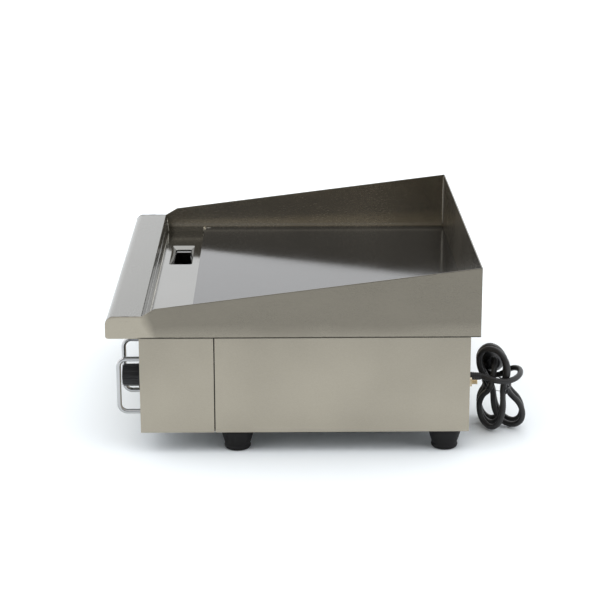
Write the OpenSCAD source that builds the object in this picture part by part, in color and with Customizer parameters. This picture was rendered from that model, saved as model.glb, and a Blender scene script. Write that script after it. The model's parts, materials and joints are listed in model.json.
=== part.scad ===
// Countertop electric flat top griddle.
// Frame: +Z up, front faces -Y, origin on the table under the middle of the top. Millimetres.

/* [Top] */
// Width of the top, across the splash guards
top_w = 550; // [520:1:600]
// Depth of the top, from the lip to the back splash
top_d = 470; // [460:1:480]
// Height of the back corners of the splash above the table
top_h = 243; // [235:1:260]
// Thickness of the splash and trough sheet
sheet_t = 1.5; // [1.2:0.1:2]
// Thickness of the cooking plate
plate_t = 8; // [6:1:8]
// Depth of the grease trough, from lip to plate
trough_d = 55; // [50:1:60]

/* [Body] */
// Width of the body
body_w = 546; // [516:1:546]
// Height of the body above the table at its lower edge
foot_h = 28.2; // [25:0.1:32]
// Thickness of the casing sheet
case_t = 1.5; // [1:0.1:1.5]

/* [Control] */
// Distance of the control knob to the right of the middle
knob_x = 207.5; // [190:0.5:212]
// Height of the knob's axis above the table
knob_z = 84.3; // [80:0.1:90]
// Diameter of the knob's grip
knob_d = 30; // [26:1:34]
// Diameter of the guard rods
guard_d = 6; // [5:0.5:7]

/* [Drawer] */
// Width of the grease tray
tray_w = 160; // [130:1:170]
// Length of the grease tray
tray_l = 170; // [150:1:180]
// Depth of the grease tray
tray_h = 44; // [36:1:46]

/* [Cord] */
// Diameter of the mains lead
cord_d = 7.5; // [7:0.1:8]

/* [Hidden] */
$fn = 48;
deck_z = 153.5;
plate_z = deck_z + plate_t;
front_y = -top_d / 2;
back_y = top_d / 2;
half_w = top_w / 2;
body_half = body_w / 2;
panel_y = -193.5;
casing_back_y = 222.7;
case_top = deck_z - 0.8;
seam_y = -100.3;
seam_gap = 1.5;
inner_half = body_half - case_t;
inner_front = panel_y + case_t;
inner_back = casing_back_y - case_t;

// Front lip: a flat rail with a rounded front, and a sloping wall down to the trough
lip_top = 182;
lip_inner_y = -189.5;
lip_foot_y = -186;
lip_round = 11;
lip_under_round = 3.5;
slope_y = -172.5;
slope_z = 192;
plate_front = lip_foot_y + trough_d;

// Drain hole in the trough, and the drawer under it
drain_x = -133;
drain_y = -158.5;
drain_w = 108;
drain_l = 33;
drain_dish = 5;
chute_low = 146;
tray_x = -134;
tray_z = 62;
tray_t = 1.2;
tray_front = -190.5;
drawer_gap = 0.5;
drawer_front_t = 1.5;
opening_clear = 2;

// Feet
foot_x = 250;
foot_front_y = -71.5;
foot_rear_y = 193.8;
foot_top_r = 23;
foot_neck_r = 16.2;
foot_bead_r = 17;
foot_bead_round = 4;

// Heating: tubular elements pressed against the plate from below
element_d = 8.5;
element_z = deck_z - element_d / 2;
element_pitch = 50;
element_front = -75;
element_back = 170;
element_first_x = 50;
clamp_ys = [-40, 135];
clamp_t = 3;
clamp_z = element_z - element_d / 2 - clamp_t;
stud_r = 3;
stud_low = 134;
shield_z = 122;
shield_t = 1;
board_t = 8;

// Control parts
spindle_r = 3;
running_gap = 0.05;
bush_r = 5;
knob_front = -220;
knob_back = -195.8;
guard_xs = [knob_x - 42.5, knob_x + 42.5];
guard_out = -224.5;
guard_low = 46.3;
guard_high = 122.2;
guard_bend = 10;
lamp_xs = [70, 105];
lamp_z = knob_z;

// Rear fittings
cord_x = 197;
cord_z = 76.5;
gland_end = casing_back_y + 22.3;
stud_x = 246;
stud_z = 85;

// Spare lead: a short stretch through the strain relief into a standing hank behind the body
cord_route = [[197, 222.7, 76.5], [197, 235, 76.5], [197, 248, 76.5], [197, 261, 76.5]];
hank_x0 = 147;
hank_x1 = 209;
hank_y0 = 240;
hank_y1 = 303;
hank_h = 121;
hank_notch = 22;
plug_face = 118;
plug_r = 17.5;
plug_y = 267;
plug_z = 78;

// ---------- helpers ----------

// A box from its low corner to its high corner
module block(low, high) {
  translate(low) cube(high - low);
}

// A rod of radius r from a to b along one axis, named by its letter
module rod_x(r, a, b, y, z) { translate([a, y, z]) rotate([0, 90, 0]) cylinder(r = r, h = b - a); }
module rod_y(r, a, b, x, z) { translate([x, a, z]) rotate([-90, 0, 0]) cylinder(r = r, h = b - a); }
module rod_z(r, a, b, x, y) { translate([x, y, a]) cylinder(r = r, h = b - a); }

// A hexagonal nut along Z with a bore
module nut_z(across, bore_r, low, high, x, y) {
  difference() {
    translate([x, y, low]) cylinder(d = across / cos(30), h = high - low, $fn = 6);
    rod_z(bore_r, low - 1, high + 1, x, y);
  }
}

// A hexagonal nut along Y with a bore
module nut_y(across, bore_r, low, high, x, z) {
  difference() {
    translate([x, low, z]) rotate([-90, 0, 0]) cylinder(d = across / cos(30), h = high - low, $fn = 6);
    rod_y(bore_r, low - 1, high + 1, x, z);
  }
}

// Points of an arc in a plane, from angle a to angle b
function arc(c, r, a, b, n = 8) = [for (i = [0 : n]) let (t = a + (b - a) * i / n) c + r * [cos(t), sin(t)]];

// A (Y, Z) outline carried along X from x0 to x1
module along_x(x0, x1) {
  translate([x0, 0, 0]) rotate([90, 0, 90]) linear_extrude(x1 - x0) children();
}

// A rectangle with rounded corners, centred
module round_rect(w, l, r) {
  square([w - 2 * r, l], center = true);
  square([w, l - 2 * r], center = true);
  for (sx = [-1, 1], sy = [-1, 1]) translate([sx * (w / 2 - r), sy * (l / 2 - r)]) circle(r);
}

// ---------- top ----------

// Side splash guard: tall at the back, falling to the front, closed over the end of the lip
module splash_outline() {
  polygon(concat(
    [[back_y, deck_z], [back_y, top_h], [slope_y, slope_z], [lip_inner_y, lip_top]],
    arc([front_y + lip_round, lip_top - lip_round], lip_round, 90, 180),
    arc([front_y + lip_under_round, deck_z + lip_under_round], lip_under_round, 180, 270, 4)
  ));
}
module splash_right() {
  color("silver") along_x(half_w - sheet_t, half_w) splash_outline();
}
module splash_left() {
  color("silver") along_x(-half_w, -half_w + sheet_t) splash_outline();
}
module splash_back() {
  color("silver")
    block([-half_w + sheet_t, back_y - sheet_t, deck_z], [half_w - sheet_t, back_y, top_h]);
}

// Front lip: one folded sheet, closed at its ends by the side splash guards
module front_lip() {
  t = sheet_t;
  outer = concat(
    [[-200, deck_z]],
    arc([front_y + lip_under_round, deck_z + lip_under_round], lip_under_round, 270, 180, 4),
    arc([front_y + lip_round, lip_top - lip_round], lip_round, 180, 90),
    [[lip_inner_y, lip_top], [lip_foot_y, deck_z + t]]
  );
  inner = concat(
    [[lip_foot_y - t, deck_z + t], [lip_inner_y - t, lip_top - t]],
    arc([front_y + lip_round, lip_top - lip_round], lip_round - t, 90, 180),
    arc([front_y + lip_under_round, deck_z + lip_under_round], lip_under_round - t, 180, 270, 4),
    [[-200, deck_z + t]]
  );
  color("gainsboro") along_x(-half_w + sheet_t, half_w - sheet_t) polygon(concat(outer, inner));
}

// Grease trough with the drain hole at its left
module drain_trough() {
  color("gainsboro") difference() {
    block([-half_w + sheet_t, lip_foot_y - sheet_t, deck_z], [half_w - sheet_t, plate_front, deck_z + sheet_t]);
    translate([drain_x, drain_y, deck_z - 1]) linear_extrude(5) square([drain_w, drain_l], center = true);
  }
}

// Short dished chute under the drain hole, narrowing down towards the tray
module chute_taper(t) {
  w = drain_w + 2 * t;
  l = drain_l + 2 * t;
  translate([drain_x, drain_y, deck_z]) mirror([0, 0, 1])
    linear_extrude(deck_z - chute_low, scale = [1 - 2 * drain_dish / w, 1 - 2 * drain_dish / l])
      square([w, l], center = true);
}
module drain_chute() {
  color("silver") difference() {
    union() {
      translate([drain_x, drain_y, deck_z - case_t])
        linear_extrude(case_t) round_rect(drain_w + 20, drain_l + 12, 6);
      chute_taper(case_t);
    }
    chute_taper(0);
  }
}

module griddle_plate() {
  color("lightsteelblue")
    block([-half_w + sheet_t, plate_front, deck_z], [half_w - sheet_t, back_y - sheet_t, plate_z]);
}

// Places of the studs welded under the plate: two on each clamp bar
function clamp_xs(side) = [for (k = [0.5, 2.5]) side * (element_first_x + k * element_pitch)];
module plate_studs() {
  color("dimgray") for (side = [-1, 1], x = clamp_xs(side), y = clamp_ys)
    rod_z(stud_r, stud_low, deck_z, x, y);
}

// ---------- heating ----------

// One sheathed element: four runs joined by U bends, with a terminal pin on each end
module element(side) {
  r = element_d / 2;
  xs = [for (i = [0 : 3]) side * (element_first_x + i * element_pitch)];
  bend = element_pitch / 2;
  translate([0, 0, element_z]) {
    for (i = [0 : 3]) rod_y(r, element_front, element_back, xs[i], 0);
    for (i = [0, 2]) translate([(xs[i] + xs[i + 1]) / 2, element_front, 0])
      rotate([0, 0, 180]) rotate_extrude(angle = 180) translate([bend, 0]) circle(r);
    translate([(xs[1] + xs[2]) / 2, element_back, 0])
      rotate_extrude(angle = 180) translate([bend, 0]) circle(r);
    for (i = [0, 3]) rod_y(1.5, element_back, element_back + 20, xs[i], 0);
  }
}
module element_left() { color("olivedrab") element(-1); }
module element_right() { color("olivedrab") element(1); }

// Flat bars that press the elements against the plate
module element_clamps() {
  far = element_first_x + 3 * element_pitch + 10;
  near = element_first_x - 10;
  color("darkgray") for (side = [-1, 1], y = clamp_ys) difference() {
    block([min(side * near, side * far), y - 10, clamp_z], [max(side * near, side * far), y + 10, clamp_z + clamp_t]);
    for (x = clamp_xs(side)) rod_z(stud_r + 0.3, clamp_z - 1, clamp_z + clamp_t + 1, x, y);
  }
}
module clamp_nuts() {
  color("silver") for (side = [-1, 1], x = clamp_xs(side), y = clamp_ys)
    nut_z(10, stud_r, clamp_z - 5, clamp_z, x, y);
}

// Ceramic fibre board lying in the heat shield
module insulation_board() {
  color("ivory") block([-262, -128, shield_z + shield_t], [262, 212, shield_z + shield_t + board_t]);
}

// Tray-shaped shield under the elements, with its side flanges welded to the casing
module heat_shield() {
  color("lightgray") difference() {
    block([-inner_half, -132, shield_z], [inner_half, 216, shield_z + 14]);
    block([-inner_half + shield_t, -131, shield_z + shield_t], [inner_half - shield_t, 215, shield_z + 15]);
  }
}

// ---------- body ----------

// Inward flange at the foot of the casing, which the base pan is screwed to
flange_w = 28;
flange_z = foot_h + case_t;
module side_flanges(y0, y1) {
  for (s = [-1, 1]) block(
    [s > 0 ? inner_half - flange_w : -inner_half, y0, flange_z],
    [s > 0 ? inner_half : -inner_half + flange_w, y1, flange_z + case_t]);
}
module base_holes() {
  for (x = [-foot_x, foot_x], y = [foot_front_y, foot_rear_y]) rod_z(stud_r, foot_h - 1, flange_z + case_t + 1, x, y);
  for (p = base_screw_places) rod_z(2, foot_h - 1, flange_z + case_t + 1, p[0], p[1]);
}

// Front housing: front panel, two short sides and a flange at the foot
module front_housing() {
  color("tan") difference() {
    union() {
      block([-body_half, panel_y, foot_h], [body_half, inner_front, case_top]);
      for (s = [-1, 1]) block(
        [s > 0 ? inner_half : -body_half, inner_front, foot_h],
        [s > 0 ? body_half : -inner_half, seam_y, case_top]);
      side_flanges(inner_front, seam_y);
      block([-inner_half, inner_front, flange_z], [inner_half, inner_front + 18, flange_z + case_t]);
    }
    base_holes();
    for (x = bracket_xs) rod_y(2, panel_y - 1, inner_front + 1, x, bracket_z);
    for (dx = [-14, 14]) rod_y(1.5, panel_y - 1, inner_front + 1, knob_x + dx, knob_z);
    block(
      [tray_x - tray_w / 2 - opening_clear, panel_y - 1, tray_z - opening_clear],
      [tray_x + tray_w / 2 + opening_clear, inner_front + 1, tray_z + tray_h + opening_clear]);
    rod_y(bush_r, panel_y - 1, inner_front + 1, knob_x, knob_z);
    for (x = lamp_xs) rod_y(5, panel_y - 1, inner_front + 1, x, lamp_z);
    for (x = guard_xs, z = guard_legs) rod_y(guard_d / 2, panel_y - 1, inner_front + 1, x, z);
  }
}

// Rear casing: back panel with louvre slots and two long sides
module rear_casing() {
  color("tan") difference() {
    union() {
      block([-body_half, inner_back, foot_h], [body_half, casing_back_y, case_top]);
      for (s = [-1, 1]) block(
        [s > 0 ? inner_half : -body_half, seam_y + seam_gap, foot_h],
        [s > 0 ? body_half : -inner_half, inner_back, case_top]);
      side_flanges(seam_y + seam_gap, inner_back);
      block([-inner_half, inner_back - 18, flange_z], [inner_half, inner_back, flange_z + case_t]);
    }
    base_holes();
    for (i = [0 : 7]) block([-150 + i * 22, inner_back - 1, 84], [-143 + i * 22, casing_back_y + 1, 110]);
    rod_y(8, inner_back - 1, casing_back_y + 1, cord_x, cord_z);
    rod_y(shank_r, inner_back - 1, casing_back_y + 1, stud_x, stud_z);
    for (x = bracket_xs) rod_y(2, inner_back - 1, casing_back_y + 1, x, bracket_z);
  }
}

// Strips behind the seams that hold the two casing parts in line
module seam_strips() {
  color("gray") for (s = [-1, 1]) block(
    [s > 0 ? inner_half - 1.5 : -inner_half, seam_y - 12, foot_h + 4],
    [s > 0 ? inner_half : -inner_half + 1.5, seam_y + 14, shield_z - 2]);
}

// Base plate inside the foot of the casing, with cooling slots and a hole for the cut-out's button
module base_pan() {
  half = inner_half - 0.2;
  color("darkgray") difference() {
    block([-half, inner_front + 0.2, foot_h], [half, inner_back - 0.2, flange_z]);
    for (i = [0 : 9]) block([-108 + i * 24, 40, foot_h - 1], [-100 + i * 24, 110, flange_z + 1]);
    rod_z(button_bore_r, foot_h - 1, flange_z + 1, cutout_x, cutout_y);
    base_holes();
  }
}

// Angles welded under the top that the casing is screwed to, in front and at the back
bracket_xs = [-200, 0, 170];
bracket_z = 144;
module casing_brackets() {
  color("gray") for (x = bracket_xs) {
    difference() {
      union() {
        block([x - 12, inner_back - 2, bracket_z - 7], [x + 12, inner_back, deck_z]);
        block([x - 12, inner_back - 5, deck_z - 2], [x + 12, inner_back - 2, deck_z]);
      }
      rod_y(2, inner_back - 3, inner_back + 1, x, bracket_z);
    }
    difference() {
      union() {
        block([x - 12, inner_front, bracket_z - 7], [x + 12, inner_front + 2, deck_z]);
        block([x - 12, inner_front + 2, deck_z - 2], [x + 12, inner_front + 8, deck_z]);
      }
      rod_y(2, inner_front - 1, inner_front + 3, x, bracket_z);
    }
  }
}
module casing_screws() {
  color("silver") for (x = bracket_xs) {
    rod_y(2, inner_back - 4, casing_back_y, x, bracket_z);
    rod_y(4, casing_back_y, casing_back_y + 2, x, bracket_z);
    rod_y(2, panel_y, inner_front + 4, x, bracket_z);
    rod_y(4, panel_y - 2, panel_y, x, bracket_z);
  }
}

// Self-tapping screws that hold the base pan, heads downwards
base_screw_places = concat(
  [for (x = [-262, 262], y = [-160, 60]) [x, y]],
  [for (x = [-120, 120], y = [-182, 212]) [x, y]]
);
module base_screws() {
  color("silver") for (p = base_screw_places) {
    rod_z(2, foot_h, foot_h + 8, p[0], p[1]);
    rod_z(4, foot_h - 2, foot_h, p[0], p[1]);
  }
}

// Rubber foot: a cone with a rounded bead at the floor, hollowed for its screw
module foot(x, y) {
  color("black") translate([x, y, 0]) difference() {
    rotate_extrude() polygon(concat(
      [[0, 0]],
      arc([foot_bead_r - foot_bead_round, foot_bead_round], foot_bead_round, -90, 30, 8),
      [[foot_neck_r, 7], [foot_top_r - 0.8, foot_h - 1.5], [foot_top_r - 1.5, foot_h], [0, foot_h]]
    ));
    translate([0, 0, -1]) cylinder(r = 8, h = 13);
    cylinder(r = stud_r, h = foot_h + 1);
  }
}
module foot_front_left() { foot(-foot_x, foot_front_y); }
module foot_front_right() { foot(foot_x, foot_front_y); }
module foot_rear_left() { foot(-foot_x, foot_rear_y); }
module foot_rear_right() { foot(foot_x, foot_rear_y); }

// One screw through each foot with its nut on the pan
module foot_screws() {
  color("silver") for (x = [-foot_x, foot_x], y = [foot_front_y, foot_rear_y]) {
    rod_z(stud_r, 8, foot_h + 12, x, y);
    rod_z(5.5, 8, 12, x, y);
    nut_z(10, stud_r, flange_z + case_t, flange_z + case_t + 5, x, y);
  }
}

// ---------- controls ----------

guard_legs = [guard_low + guard_d / 2, guard_high - guard_d / 2];

// Bent rod guard beside the knob
module knob_guard(x) {
  r = guard_d / 2;
  rod_line = guard_out + r;
  low = guard_legs[0];
  high = guard_legs[1];
  color("silver") {
    rod_z(r, low + guard_bend, high - guard_bend, x, rod_line);
    for (z = guard_legs) rod_y(r, rod_line + guard_bend, inner_front + 7, x, z);
    translate([x, rod_line + guard_bend, low + guard_bend]) rotate([0, 90, 0]) rotate([0, 0, -90])
      rotate_extrude(angle = 90) translate([guard_bend, 0]) circle(r);
    translate([x, rod_line + guard_bend, high - guard_bend]) rotate([0, 90, 0]) rotate([0, 0, 180])
      rotate_extrude(angle = 90) translate([guard_bend, 0]) circle(r);
  }
}
module right_knob_guard() { knob_guard(guard_xs[1]); }
module left_knob_guard() { knob_guard(guard_xs[0]); }
module guard_nuts() {
  color("silver") for (x = guard_xs, z = guard_legs) nut_y(11, guard_d / 2, inner_front, inner_front + 4, x, z);
}

// Scale disc on the panel around the knob
module dial_plate() {
  color("silver") difference() {
    rod_y(30, panel_y - 0.8, panel_y, knob_x, knob_z);
    rod_y(bush_r, panel_y - 2, panel_y + 1, knob_x, knob_z);
    for (dx = [-14, 14]) rod_y(1.5, panel_y - 2, panel_y + 1, knob_x + dx, knob_z);
  }
}

// Thermostat switch block, with a blind hole for the end of the spindle
module thermostat_body() {
  color("lightgray") difference() {
    union() {
      block([knob_x - 19, inner_front + 2, knob_z - 19], [knob_x + 19, inner_front + 38, knob_z + 19]);
      block([knob_x - 19, inner_front, knob_z - 6], [knob_x + 19, inner_front + 2, knob_z + 6]);
    }
    rod_y(9, inner_front - 1, inner_front + 2, knob_x, knob_z);
    for (dx = [-14, 14]) rod_y(1.5, inner_front - 1, inner_front + 4, knob_x + dx, knob_z);
    rod_y(spindle_r + 0.5, inner_front + 1, inner_front + 14, knob_x, knob_z);
  }
}

// Threaded bushing that the spindle turns in
module thermostat_bushing() {
  color("goldenrod") difference() {
    union() {
      rod_y(bush_r, panel_y - 0.8, inner_front + 2, knob_x, knob_z);
      rod_y(9, inner_front, inner_front + 2, knob_x, knob_z);
    }
    rod_y(spindle_r + running_gap, panel_y - 2, inner_front + 3, knob_x, knob_z);
  }
}
module thermostat_screws() {
  color("silver") for (dx = [-14, 14]) {
    rod_y(1.5, panel_y - 0.8, inner_front + 4, knob_x + dx, knob_z);
    rod_y(2.6, panel_y - 1.8, panel_y - 0.8, knob_x + dx, knob_z);
  }
}

module thermostat_spindle() {
  color("silver") difference() {
    rod_y(spindle_r, knob_front + 8, inner_front + 13, knob_x, knob_z);
    block([knob_x + 1.8, knob_front + 7, knob_z - 4], [knob_x + 4, knob_back - 1, knob_z + 4]);
  }
}

// Knob: a skirt at the panel, a fluted grip, and a blind D bore for the spindle
module thermostat_knob() {
  color("black") difference() {
    union() {
      rod_y(knob_d / 2 + 2, knob_back - 3, knob_back, knob_x, knob_z);
      rod_y(knob_d / 2 - 0.5, knob_front + 1.5, knob_back - 3, knob_x, knob_z);
      rod_y(knob_d / 2 - 2, knob_front, knob_front + 1.5, knob_x, knob_z);
    }
    for (i = [0 : 11]) rotate_about_knob(i * 30)
      rod_y(1.6, knob_front - 1, knob_back - 4, knob_x, knob_z + knob_d / 2 + 0.4);
    difference() {
      rod_y(spindle_r, knob_front + 8, knob_back + 1, knob_x, knob_z);
      block([knob_x + 1.8, knob_front + 7, knob_z - 4], [knob_x + 4, knob_back - 1, knob_z + 4]);
    }
    block([knob_x - 1, knob_front - 1, knob_z + 4], [knob_x + 1, knob_front + 1, knob_z + 12]);
  }
}
module rotate_about_knob(a) {
  translate([knob_x, 0, knob_z]) rotate([0, a, 0]) translate([-knob_x, 0, -knob_z]) children();
}
module knob_pointer() {
  color("white") block([knob_x - 1, knob_front - 0.2, knob_z + 4], [knob_x + 1, knob_front + 1, knob_z + 12]);
}

// Neon lamp: a lens in front of the panel and its barrel behind
module lamp(x, tint) {
  color(tint) {
    rod_y(7, panel_y - 2, panel_y, x, lamp_z);
    rod_y(5, panel_y, inner_front + 16, x, lamp_z);
    rod_y(5, panel_y - 4, panel_y - 2, x, lamp_z);
  }
}
module power_lamp() { lamp(lamp_xs[0], "limegreen"); }
module heat_lamp() { lamp(lamp_xs[1], "orange"); }

// Sensing bulb against the underside of the plate, between the elements
bulb_r = 3;
bulb_y = [-60, 50];
module sensing_bulb() {
  color("peru") rod_y(bulb_r, bulb_y[0], bulb_y[1], 0, deck_z - bulb_r);
}

// Capillary from the bulb, over the shield's front wall and down to the thermostat
module capillary_tube() {
  z = deck_z - bulb_r;
  y = -140;
  color("peru") {
    rod_y(1, y, bulb_y[0], 0, z);
    translate([0, y, z]) sphere(1);
    rod_x(1, 0, knob_x, y, z);
    translate([knob_x, y, z]) sphere(1);
    rod_z(1, knob_z, z, knob_x, y);
    translate([knob_x, y, knob_z]) sphere(1);
    rod_y(1, inner_front + 38, y, knob_x, knob_z);
  }
}

// Over-temperature cut-out on the base pan, reset from below
cutout_x = 120;
cutout_y = 0;
cutout_low = flange_z;
button_bore_r = 4.3;
module cutout_body() {
  color("dimgray") difference() {
    block([cutout_x - 16, cutout_y - 12, cutout_low + 4], [cutout_x + 16, cutout_y + 12, cutout_low + 34]);
    rod_z(button_bore_r, cutout_low + 3, cutout_low + 12, cutout_x, cutout_y);
  }
}
module cutout_nut() {
  color("silver") nut_z(14, button_bore_r, cutout_low, cutout_low + 4, cutout_x, cutout_y);
}
module reset_button() {
  color("red") rod_z(4, foot_h - 4, cutout_low + 9, cutout_x, cutout_y);
}

// ---------- grease drawer ----------

module drawer_tray() {
  low = [tray_x - tray_w / 2, tray_front, tray_z];
  high = [tray_x + tray_w / 2, tray_front + tray_l, tray_z + tray_h];
  color("silver") difference() {
    block(low, high);
    block(low + [tray_t, tray_t, tray_t], high + [-tray_t, -tray_t, 1]);
    for (x = handle_xs) rod_y(2, tray_front - 1, tray_front + tray_t + 1, x, handle_z);
  }
}

// Front of the drawer, standing just clear of the panel, with its fixing flange
drawer_front_y = panel_y - drawer_gap;
module drawer_front() {
  color("tan") difference() {
    union() {
      block(
        [tray_x - tray_w / 2 - 8, drawer_front_y - drawer_front_t, tray_z - 7],
        [tray_x + tray_w / 2 + 8, drawer_front_y, tray_z + tray_h + 7]);
      block(
        [tray_x - tray_w / 2, drawer_front_y, tray_z],
        [tray_x + tray_w / 2, tray_front, tray_z + tray_h - 2]);
    }
    for (x = handle_xs) rod_y(2, drawer_front_y - 5, tray_front + 1, x, handle_z);
  }
}

// D handle with two legs
handle_xs = [tray_x - 45, tray_x + 45];
handle_z = tray_z + tray_h / 2;
handle_r = 4;
handle_out = 30;
module drawer_handle() {
  y = drawer_front_y - drawer_front_t;
  line = y - handle_out + handle_r;
  color("silver") difference() {
    union() {
      rod_x(handle_r, handle_xs[0], handle_xs[1], line, handle_z);
      for (x = handle_xs) {
        translate([x, line, handle_z]) sphere(handle_r);
        rod_y(handle_r, line, y, x, handle_z);
      }
    }
    for (x = handle_xs) rod_y(2, y - 8, y + 1, x, handle_z);
  }
}
module handle_screws() {
  color("silver") for (x = handle_xs) {
    rod_y(2, drawer_front_y - drawer_front_t - 8, tray_front + tray_t, x, handle_z);
    rod_y(3.5, tray_front + tray_t, tray_front + tray_t + 2, x, handle_z);
  }
}

// Angle rails on legs that the tray slides on
module drawer_rails() {
  y0 = inner_front + 20;
  y1 = tray_front + tray_l + 4;
  gap = 1;
  color("gray") for (s = [-1, 1]) mirror_about(tray_x, s) {
    x = tray_x + tray_w / 2 + gap;
    block([x, y0, flange_z], [x + 1.5, y1, tray_z + 20]);
    block([x - 14, inner_front + 3, tray_z - 1.8], [x, y1, tray_z - 0.3]);
    block([x + 1.5, y0, flange_z], [x + 12, y1, flange_z + 1.5]);
  }
}
module mirror_about(x, s) {
  translate([x, 0, 0]) scale([s, 1, 1]) translate([-x, 0, 0]) children();
}

// ---------- electrical ----------

module terminal_block() {
  color("ivory") difference() {
    block([150, 150, flange_z], [190, 185, flange_z + 24]);
    for (x = [158, 170, 182], y = [160, 175]) rod_z(3, flange_z + 12, flange_z + 30, x, y);
  }
}

// Sheathed tail of the mains lead and the main wires, as separate solids
wire_r = 1.5;
module wire_to_thermostat(x, z, y) {
  rod_z(wire_r, flange_z + 12, z, x, 160);
  translate([x, 160, z]) sphere(wire_r);
  rod_y(wire_r, y, 160, x, z);
  translate([x, y, z]) sphere(wire_r);
  rod_x(wire_r, x, knob_x - 19, y, z);
}
module wiring_harness() {
  color("black") rod_y(cord_d / 2, 196, casing_back_y, cord_x, cord_z);
  color("sienna") wire_to_thermostat(158, knob_z - 8, -176);
  color("royalblue") wire_to_thermostat(170, knob_z + 8, -168);
}

// Earth bonding stud through the back panel, with its full diameter on the free end outside
shank_r = 2.8;
stud_nut = 5;
module bonding_stud() {
  color("goldenrod") {
    rod_y(shank_r, inner_back - 10, casing_back_y + stud_nut, stud_x, stud_z);
    rod_y(stud_r, casing_back_y + stud_nut, casing_back_y + 12, stud_x, stud_z);
  }
}
module bonding_nuts() {
  color("goldenrod") {
    nut_y(10, shank_r, inner_back - stud_nut, inner_back, stud_x, stud_z);
    nut_y(10, shank_r, casing_back_y, casing_back_y + stud_nut, stud_x, stud_z);
  }
}

// Strain relief: a flange on the back panel and a sleeve that tapers along the lead
module cord_gland() {
  color("black") translate([cord_x, casing_back_y, cord_z]) rotate([-90, 0, 0]) difference() {
    rotate_extrude() polygon([
      [0, -12], [7.8, -12], [7.8, 0], [11, 0], [11, 3],
      [5.8, 4], [4.5, gland_end - casing_back_y], [0, gland_end - casing_back_y]
    ]);
    translate([0, 0, -13]) cylinder(d = cord_d + 0.1, h = 60);
  }
}
module gland_locknut() {
  color("dimgray") nut_y(22, 7.8, inner_back - 5, inner_back, cord_x, cord_z);
}

// Lead between the strain relief and the hank, swept along its route
function unit(v) = v / norm(v);
function tangent(p, i) = unit(p[min(i + 1, len(p) - 1)] - p[max(i - 1, 0)]);
module swept_tube(p, r, n = 10) {
  count = len(p);
  rings = [for (i = [0 : count - 1]) let (
    t = tangent(p, i),
    u = unit(cross(t, [0, 0, 1])),
    v = cross(u, t)
  ) for (k = [0 : n - 1]) p[i] + r * (cos(360 * k / n) * u + sin(360 * k / n) * v)];
  sides = [for (i = [0 : count - 2], k = [0 : n - 1])
    [i * n + k, i * n + (k + 1) % n, (i + 1) * n + (k + 1) % n, (i + 1) * n + k]];
  polyhedron(rings, concat(
    [[for (k = [n - 1 : -1 : 0]) k]],
    sides,
    [[for (k = [0 : n - 1]) (count - 1) * n + k]]
  ));
}
module power_cord() {
  color("black") swept_tube(cord_route, cord_d / 2);
}

// Outer shape of the standing hank, open at the waist where the lead comes in
module cord_hank() {
  r = (hank_y1 - hank_y0) / 2;
  mid = (hank_y0 + hank_y1) / 2;
  color("black") difference() {
    along_x(hank_x0, hank_x1) {
      translate([mid, r]) circle(r);
      translate([mid, hank_h - r]) circle(r);
      translate([hank_y0, r]) square([2 * r, hank_h - 2 * r]);
    }
    block([hank_x1 - 30, hank_y0 - 1, cord_z - 12], [hank_x1 + 1, hank_y0 + hank_notch - 1, cord_z + 12]);
  }
}

// Round mains plug behind the hank, its cable end against it, and its two pins
module plug_body() {
  color("black") translate([plug_face, plug_y, plug_z]) rotate([0, 90, 0]) rotate_extrude()
    polygon([[0, 0], [plug_r, 0], [plug_r, 14], [9, 24], [9, hank_x0 - plug_face], [0, hank_x0 - plug_face]]);
}
module plug_pins() {
  color("goldenrod") for (dy = [-9.5, 9.5]) rod_x(2.4, plug_face - 19, plug_face, plug_y + dy, plug_z);
}

// ---------- nodes ----------

base_pan();
rear_casing();
front_housing();
seam_strips();
splash_right();
splash_left();
splash_back();
front_lip();
drain_trough();
drain_chute();
griddle_plate();
plate_studs();
element_left();
element_right();
element_clamps();
clamp_nuts();
insulation_board();
heat_shield();
casing_brackets();
casing_screws();
base_screws();
foot_front_left();
foot_front_right();
foot_rear_left();
foot_rear_right();
foot_screws();
thermostat_body();
thermostat_bushing();
thermostat_screws();
dial_plate();
sensing_bulb();
capillary_tube();
cutout_body();
cutout_nut();
power_lamp();
heat_lamp();
right_knob_guard();
left_knob_guard();
guard_nuts();
drawer_rails();
terminal_block();
wiring_harness();
bonding_stud();
bonding_nuts();
cord_gland();
gland_locknut();
power_cord();
cord_hank();
plug_body();
plug_pins();
thermostat_knob();
knob_pointer();
thermostat_spindle();
drawer_tray();
drawer_front();
drawer_handle();
handle_screws();
reset_button();
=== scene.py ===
"""Countertop flat top griddle: looks, camera and cord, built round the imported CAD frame.

Shapes are written in millimetres and scaled by MM; the camera and the shaders' places are in metres.
"""

import json
import math

import bpy
import bmesh
import numpy as np
from mathutils import Matrix, Vector


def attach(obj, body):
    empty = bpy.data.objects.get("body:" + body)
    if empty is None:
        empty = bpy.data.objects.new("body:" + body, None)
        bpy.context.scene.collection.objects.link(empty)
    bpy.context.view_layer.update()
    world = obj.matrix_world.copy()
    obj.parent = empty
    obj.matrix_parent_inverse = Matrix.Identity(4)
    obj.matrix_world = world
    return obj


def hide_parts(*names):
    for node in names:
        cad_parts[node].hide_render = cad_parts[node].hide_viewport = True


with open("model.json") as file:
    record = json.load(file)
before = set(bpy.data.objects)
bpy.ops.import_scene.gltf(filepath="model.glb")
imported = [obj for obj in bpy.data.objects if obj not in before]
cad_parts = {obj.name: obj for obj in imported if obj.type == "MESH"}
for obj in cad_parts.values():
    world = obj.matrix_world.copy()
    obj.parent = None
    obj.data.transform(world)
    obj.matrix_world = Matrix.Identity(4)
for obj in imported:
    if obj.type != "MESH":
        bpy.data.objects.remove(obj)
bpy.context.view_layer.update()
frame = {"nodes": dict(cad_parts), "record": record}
MM = 0.001
ROOT = "griddle"
scene = bpy.context.scene


# ---------- camera ----------

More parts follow.
